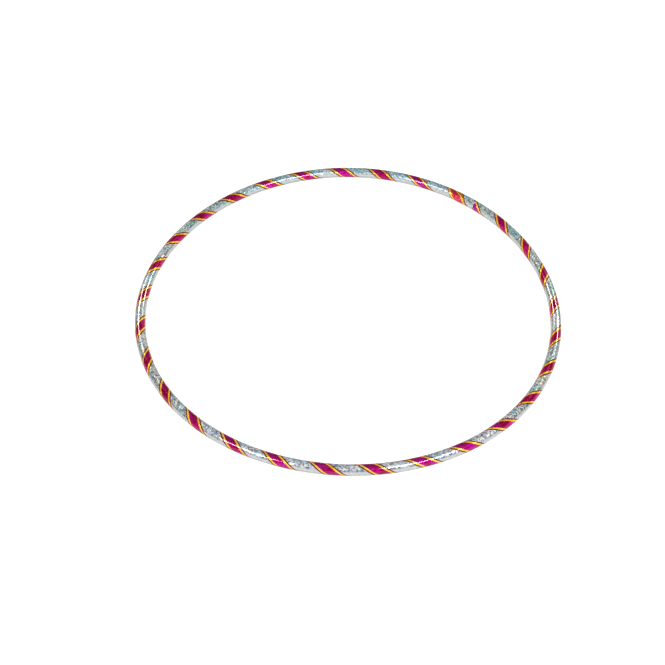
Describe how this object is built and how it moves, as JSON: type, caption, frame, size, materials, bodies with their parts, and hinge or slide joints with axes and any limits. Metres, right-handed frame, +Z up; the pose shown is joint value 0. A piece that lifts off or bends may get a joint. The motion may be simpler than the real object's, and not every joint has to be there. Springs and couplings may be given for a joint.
{
  "type": "rhythmic gymnastics hoop",
  "caption": "Rigid plastic ring for rhythmic gymnastics, wound with silver, magenta and gold foil tapes in a helix, closed by a pinned inner plug at its joint.",
  "frame": {"origin": "centre of the ring, on the plane of the floor it lies flat on", "axes": "+Z up along the ring's axis; +X through the joint of the tube"},
  "size_m": [0.8, 0.8, 0.02],
  "materials": {
    "tube_plastic": "white extruded polyethylene, satin",
    "plug_plastic": "grey moulded nylon, matte",
    "pin_steel": "bright zinc plated",
    "silver_foil": "holographic silver adhesive film, glossy with coloured sparkle",
    "magenta_foil": "magenta holographic adhesive tape, glossy",
    "gold_foil": "metallic gold adhesive tape with a dark printed edge, glossy",
    "rose_foil": "rose and amber adhesive tape, glossy"
  },
  "bodies": {
    "root": {"hoop_tube": "tube_plastic", "joint_plug": "plug_plastic", "joint_pin_1": "pin_steel", "joint_pin_2": "pin_steel", "joint_pin_3": "pin_steel", "joint_pin_4": "pin_steel", "silver_film": "silver_foil", "magenta_tape": "magenta_foil", "gold_tape_leading": "gold_foil", "gold_tape_trailing": "gold_foil", "joint_tape": "rose_foil"}
  },
  "joints": []
}
